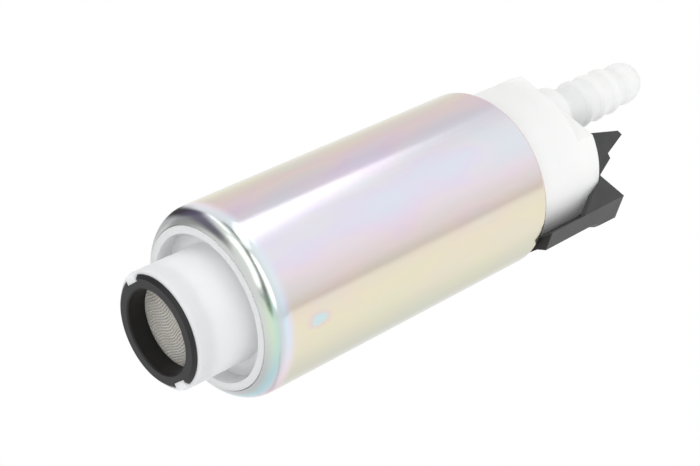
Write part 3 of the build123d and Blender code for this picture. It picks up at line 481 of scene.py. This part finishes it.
# The finish of each material slot
looks = {
    "zinc_steel": zinc_steel(),
    "white_plastic_inlet": white_plastic(
        "white_inlet", (0.89, 0.90, 0.90), (0.87, 0.88, 0.885), 0.5, 0.003, GROOVE_SHADE_START
    ),
    "white_plastic_outlet": white_plastic(
        "white_outlet", (0.885, 0.885, 0.87), (0.865, 0.868, 0.85), 0.6, 0.004
    ),
    "black_plastic": black_plastic(
        "black_guard",
        (0.046, 0.046, 0.048),
        (0.036, 0.036, 0.038),
        (0.34, 0.5),
        shaded_below=PLATE_FRONT,
    ),
    "ring_plastic": black_plastic(
        "black_ring",
        (0.014, 0.014, 0.015),
        (0.010, 0.010, 0.011),
        (0.36, 0.52),
        shaded_within=SHADED_BORE,
    ),
    "mesh_steel": plain_metal(
        "stainless_wire", (0.95, 0.92, 0.85), (0.84, 0.80, 0.73), (0.3, 0.45), metallic=0.35
    ),
    "hard_steel": plain_metal(
        "ground_steel", (0.62, 0.62, 0.64), (0.54, 0.54, 0.57), (0.14, 0.24)
    ),
    "dark_plastic": black_plastic(
        "dark_moulding", (0.075, 0.076, 0.082), (0.05, 0.05, 0.056), (0.42, 0.58)
    ),
    "bronze": plain_metal(
        "sintered_bronze", (0.50, 0.34, 0.18), (0.36, 0.24, 0.13), (0.36, 0.55), 4200
    ),
    "soft_iron": plain_metal("soft_iron", (0.33, 0.33, 0.35), (0.24, 0.24, 0.27), (0.36, 0.52)),
    "ferrite": dull("ferrite", (0.07, 0.07, 0.075), (0.045, 0.045, 0.05), (0.45, 0.65), 0.00001),
    "spring_steel": plain_metal("spring_wire", (0.56, 0.56, 0.58), (0.46, 0.46, 0.49), (0.2, 0.32)),
    "fibre": dull("pressed_fibre", (0.40, 0.16, 0.09), (0.30, 0.11, 0.06), (0.5, 0.7), 0.000014),
    "copper": plain_metal(
        "enamelled_copper", (0.66, 0.30, 0.15), (0.50, 0.20, 0.10), (0.22, 0.38)
    ),
    "carbon": dull("pressed_carbon", (0.05, 0.05, 0.055), (0.03, 0.03, 0.034), (0.4, 0.6), 0.00001),
    "tinned_brass": plain_metal(
        "tinned_brass", (0.66, 0.63, 0.55), (0.55, 0.52, 0.44), (0.22, 0.36)
    ),
    "black_rubber": dull(
        "black_rubber", (0.02, 0.02, 0.02), (0.012, 0.012, 0.012), (0.55, 0.75), 0.000012
    ),
}
for row in frame["record"]["subparts"]:
    slots = nodes[row["node"]].data.materials
    for index in range(len(slots)):
        slots[index] = looks[row["material_slot"]]


# Woven strainer cloth: two sets of wires that pass over and under each other
def woven_mesh():
    low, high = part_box("strainer_mesh")
    rim_gap = 0.0002
    reach = (high.x - low.x) / 2 - rim_gap
    middle = (low.z + high.z) / 2
    pitch = 0.00054
    thick_wire = 0.000125
    thin_wire = 0.00008
    swing = (high.z - low.z) / 2 - thick_wire
    steps = 4                      # from one crossing to the next
    shortest = 2                   # steps each side of a wire's middle
    sides = 6                      # of a wire's section
    count = int(reach / pitch)
    wave_height = 0.00045
    wave_rate = 2 * pi / 0.0085

    def waved(x, y, z):
        """Place of a point once the cloth's wires run in waves, which fade towards its rim."""
        free = max(1 - (x**2 + y**2) / reach**2, 0) * wave_height
        return (x + free * sin(wave_rate * y), y + free * sin(wave_rate * x), z)

    verts = []
    faces = []
    for along, wire in ((0, thin_wire), (1, thick_wire)):
        for row in range(-count, count + 1):
            side = row * pitch
            half = sqrt(max(reach**2 - side**2, 0))
            last = int(half / pitch * steps)
            if last < shortest:
                continue
            start = len(verts)
            for k in range(-last, last + 1):
                t = k * pitch / steps
                phase = pi * (k / steps + row + along)
                z = middle + swing * cos(phase)
                slope = -swing * pi / pitch * sin(phase)
                length = hypot(1, slope)
                for s in range(sides):
                    turn = 2 * pi * s / sides
                    across = wire * cos(turn)
                    up = wire * sin(turn)
                    forward = -up * slope / length
                    lift = up / length
                    spot = (t + forward, side + across, z + lift)
                    if along:
                        spot = (spot[1], spot[0], spot[2])
                    verts.append(waved(*spot))
            for k in range(2 * last):
                for s in range(sides):
                    a = start + k * sides + s
                    b = start + k * sides + (s + 1) % sides
                    face = (a, b, b + sides, a + sides)
                    faces.append(face if along else face[::-1])
            faces.append(tuple(range(start, start + sides)))
            end = start + 2 * last * sides
            faces.append(tuple(range(end + sides - 1, end - 1, -1)))
    data = bpy.data.meshes.new("strainer_cloth")
    data.from_pydata(verts, [], faces)
    data.validate()
    data.polygons.foreach_set("use_smooth", [True] * len(data.polygons))
    data.materials.append(looks["mesh_steel"])
    cloth = bpy.data.objects.new("strainer_cloth", data)
    bpy.context.scene.collection.objects.link(cloth)
    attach(cloth, "pump")
    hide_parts("strainer_mesh")


woven_mesh()


# Springs, each a copy of its CAD spring that hangs on its joint's parent and stands in its place
def springs():
    for joint in frame["record"]["behaviour"]["joints"]:
        for row in joint.get("deforming_nodes", []):
            coil = bpy.data.objects.new(row["node"] + "_coil", nodes[row["node"]].data.copy())
            bpy.context.scene.collection.objects.link(coil)
            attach(coil, joint["parent"])
            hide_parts(row["node"])
            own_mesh(coil)


springs()


# Grey surroundings that the steel mirrors, by the angle round the axis
def mirrored_bands(tree, turn):
    bands = [
        (share(-180), (0.88, 0.88, 0.89)),
        (share(-163), (0.86, 0.86, 0.87)),
        (share(-145), (0.93, 0.93, 0.93)),
        (share(-85), (0.95, 0.95, 0.95)),
        (share(-62), (0.88, 0.87, 0.87)),
        (share(-52), (0.77, 0.75, 0.75)),
        (share(-48.5), (0.70, 0.67, 0.64)),
        (share(-43.5), (0.95, 0.95, 0.95)),
        (share(5), (0.95, 0.95, 0.95)),
        (share(30), (0.88, 0.88, 0.88)),
        (share(52), (0.80, 0.80, 0.79)),
        (share(72), (0.86, 0.86, 0.85)),
        (share(110), (0.95, 0.95, 0.94)),
        (share(180), (0.88, 0.88, 0.89)),
    ]
    return tree.ramp(turn, bands)


# Softbox: a sharp upper edge, and a lower one that draws in towards the rear
def softbox(tree, turn, up):
    sharp = tree.step(turn, share(-166), share(-162))
    narrowing = tree.scale(up, 0.53, 0.66, 0, share(-150) - share(-180))
    lower = tree.math("ADD", turn, narrowing)
    soft = tree.step(lower, share(-122), share(-148))
    raised = tree.math("MULTIPLY", tree.step(up, 0.70, 0.58), tree.step(up, 0.30, 0.46))
    return tree.math("MULTIPLY", tree.math("MULTIPLY", sharp, soft), raised)


def streak(tree, spread, first, last, widths, soft):
    """1 along the line between two places, falling to 0 at about the width beside it."""
    run = (last[0] - first[0], last[1] - first[1], 0)
    length_squared = run[0] ** 2 + run[1] ** 2
    away = tree.vector_math("SUBTRACT", spread, (*first, 0))
    passed = tree.vector_math("DOT_PRODUCT", away, run, result="Value")
    done = tree.math("DIVIDE", passed, length_squared, clamp=True)
    beside = tree.vector_math("SUBTRACT", away, tree.scaled(run, done))
    distance = tree.vector_math("LENGTH", beside, result="Value")
    width = tree.scale(done, 0, 1, *widths)
    return tree.step(tree.math("DIVIDE", distance, width), 1 + soft, 1 - soft)


# Grey, dark and bright places low down, which only the rolled edge mirrors
def with_low_places(tree, split, lit):
    up = split["Z"]
    below = tree.step(up, 0.35, -0.25)
    lit = tree.mix(tree.math("MULTIPLY", below, 0.8), lit, (0.74, 0.74, 0.74))
    # Degrees from -Y towards +X, and height as 100 times its sine
    toward = tree.math("ARCTAN2", split["X"], tree.math("MULTIPLY", split["Y"], -1))
    spread = tree.add("ShaderNodeCombineXYZ")
    tree.link(tree.math("MULTIPLY", toward, 180 / pi), spread.inputs["X"])
    tree.link(tree.math("MULTIPLY", up, 100), spread.inputs["Y"])
    # First place, last place, width at each, softness, strength and colour
    places = [
        ((-150, 22), (-100, -62), (20, 20), 0.45, 0.75, (0.40, 0.40, 0.40)),
        ((-140, -38), (-84, -74), (17, 14), 0.6, 0.85, (0.28, 0.28, 0.28)),
        ((-158, 43), (-122, -6), (5, 15), 0.6, 1.0, (0.058, 0.05, 0.054)),
        ((-120, -8), (-96, -66), (14, 13), 0.7, 0.85, (0.11, 0.10, 0.15)),
        ((-74, -4), (-28, -38), (6, 8), 0.6, 0.9, (0.26, 0.26, 0.25)),
        ((-64, 40), (-50, 0), (10, 11), 0.45, 1.0, (1.6, 1.6, 1.6)),
        ((-50, 0), (-44, -20), (11, 6), 0.45, 0.7, (1.3, 1.3, 1.3)),
        ((-97, -3), (-70, -32), (4, 6), 0.45, 1.0, (1.3, 1.32, 1.3)),
        ((-56, -53), (-6, -78), (14, 11), 0.45, 1.0, (1.32, 1.33, 1.3)),
        ((-20, -26), (18, -29), (12, 13), 0.35, 1.0, (1.5, 1.5, 1.5)),
        ((-34, -38), (8, -60), (6, 7), 0.45, 0.95, (0.24, 0.24, 0.24)),
        ((10, -62), (28, -66), (10, 13), 0.6, 0.9, (0.16, 0.185, 0.17)),
        ((20, -70), (18, -86), (9, 6), 0.6, 0.6, (0.25, 0.28, 0.26)),
        ((84, -24), (146, 40), (3, 5), 0.45, 0.35, (0.4, 0.4, 0.4)),
    ]
    for first, last, widths, soft, strength, colour in places:
        factor = streak(tree, spread.outputs[0], first, last, widths, soft)
        if strength < 1:
            factor = tree.math("MULTIPLY", factor, strength)
        lit = tree.mix(factor, lit, colour)
    return lit


# Studio: a white background, even light, and surroundings that only glossy rays see
def studio():
    world = bpy.data.worlds.new("studio")
    bpy.context.scene.world = world
    world.use_nodes = True
    tree = Tree(world.node_tree)
    split = tree.split(tree.add("ShaderNodeTexCoord").outputs["Generated"])
    turn = turn_share(tree, split)
    shine = softbox(tree, turn, split["Z"])
    shine_light = (1.75, 1.75, 1.75)
    lit = tree.mix(shine, mirrored_bands(tree, turn), shine_light)
    mirrored = tree.add("ShaderNodeBackground")
    tree.link(with_low_places(tree, split, lit), mirrored.inputs["Color"])
    even = tree.add("ShaderNodeBackground")
    even_stops = [(0, (0.92, 0.92, 0.92)), (0.45, (0.86, 0.865, 0.875)), (1, (0.92, 0.92, 0.92))]
    tree.link(tree.ramp(turn, even_stops), even.inputs["Color"])
    white = tree.add("ShaderNodeBackground")
    white.inputs["Color"].default_value = (1, 1, 1, 1)
    ray = tree.add("ShaderNodeLightPath").outputs
    surround = tree.add("ShaderNodeMixShader")
    tree.link(ray["Is Glossy Ray"], surround.inputs[0])
    tree.link(even.outputs[0], surround.inputs[1])
    tree.link(mirrored.outputs[0], surround.inputs[2])
    chosen = tree.add("ShaderNodeMixShader")
    tree.link(ray["Is Camera Ray"], chosen.inputs[0])
    tree.link(surround.outputs[0], chosen.inputs[1])
    tree.link(white.outputs[0], chosen.inputs[2])
    output = tree.add("ShaderNodeOutputWorld")
    tree.link(chosen.outputs[0], output.inputs["Surface"])


studio()


# Pale floor, which shows from above only, because the photograph's camera is under it
def floor():
    half = 1.5
    gap = 0.0002                   # under the inlet ring, which stands at z = 0
    corners = [(-half, -half, 0), (half, -half, 0), (half, half, 0), (-half, half, 0)]
    data = bpy.data.meshes.new("floor")
    data.from_pydata(corners, [], [(0, 1, 2, 3)])
    plate = bpy.data.objects.new("floor", data)
    bpy.context.scene.collection.objects.link(plate)
    plate.location.z = -gap
    made, tree, sockets, place = material("pale_floor", Roughness=0.7)
    clouds = tree.noise(place, 6, 3)
    tree.link(tree.mix(clouds, (0.86, 0.86, 0.86), (0.82, 0.82, 0.825)), sockets["Base Color"])
    shader = next(n for n in made.node_tree.nodes if n.type == "BSDF_PRINCIPLED")
    clear = tree.add("ShaderNodeBsdfTransparent")
    chosen = tree.add("ShaderNodeMixShader")
    tree.link(tree.add("ShaderNodeNewGeometry").outputs["Backfacing"], chosen.inputs[0])
    tree.link(shader.outputs[0], chosen.inputs[1])
    tree.link(clear.outputs[0], chosen.inputs[2])
    output = next(n for n in made.node_tree.nodes if n.type == "OUTPUT_MATERIAL")
    tree.link(chosen.outputs[0], output.inputs["Surface"])
    data.materials.append(made)
    plate.visible_diffuse = False
    plate.visible_glossy = False
    plate.visible_transmission = False
    plate.visible_shadow = False


floor()


# Soft lamps that model the white plastics; each lights only the pieces it is given
def lamp(name, place, size, power, pieces, aim_at=(0, 0, 0.06), shadows=True):
    data = bpy.data.lights.new(name, "AREA")
    data.shape = "DISK"
    data.size = size
    data.energy = power
    made = bpy.data.objects.new(name, data)
    bpy.context.scene.collection.objects.link(made)
    made.location = place
    aim = Vector(aim_at) - Vector(place)
    made.rotation_euler = aim.to_track_quat("-Z", "Y").to_euler()
    made.visible_glossy = False
    made.visible_camera = False
    lit = bpy.data.collections.new(name + "_lights")
    for piece in pieces:
        lit.objects.link(piece)
    made.light_linking.receiver_collection = lit
    if not shadows:
        made.light_linking.blocker_collection = lit


subparts = [nodes[row["node"]] for row in frame["record"]["subparts"]]
lamp("lamp_front", (-0.1, -0.35, -0.45), size=0.4, power=0.25, pieces=subparts)
lamp("lamp_key", (-0.5, -0.35, 0.1), size=0.5, power=0.25, pieces=subparts)
lamp("lamp_fill", (0.08, -0.42, -0.20), size=0.25, power=0.2, pieces=subparts)
# This one brightens the outlet cover in the gap beside the connector's plate
lamp(
    "lamp_gap",
    (0.14, -0.14, 0.09),
    size=0.08,
    power=0.05,
    pieces=[nodes["outlet_cover"]],
    aim_at=(0.012, -0.011, 0.095),
    shadows=False,
)
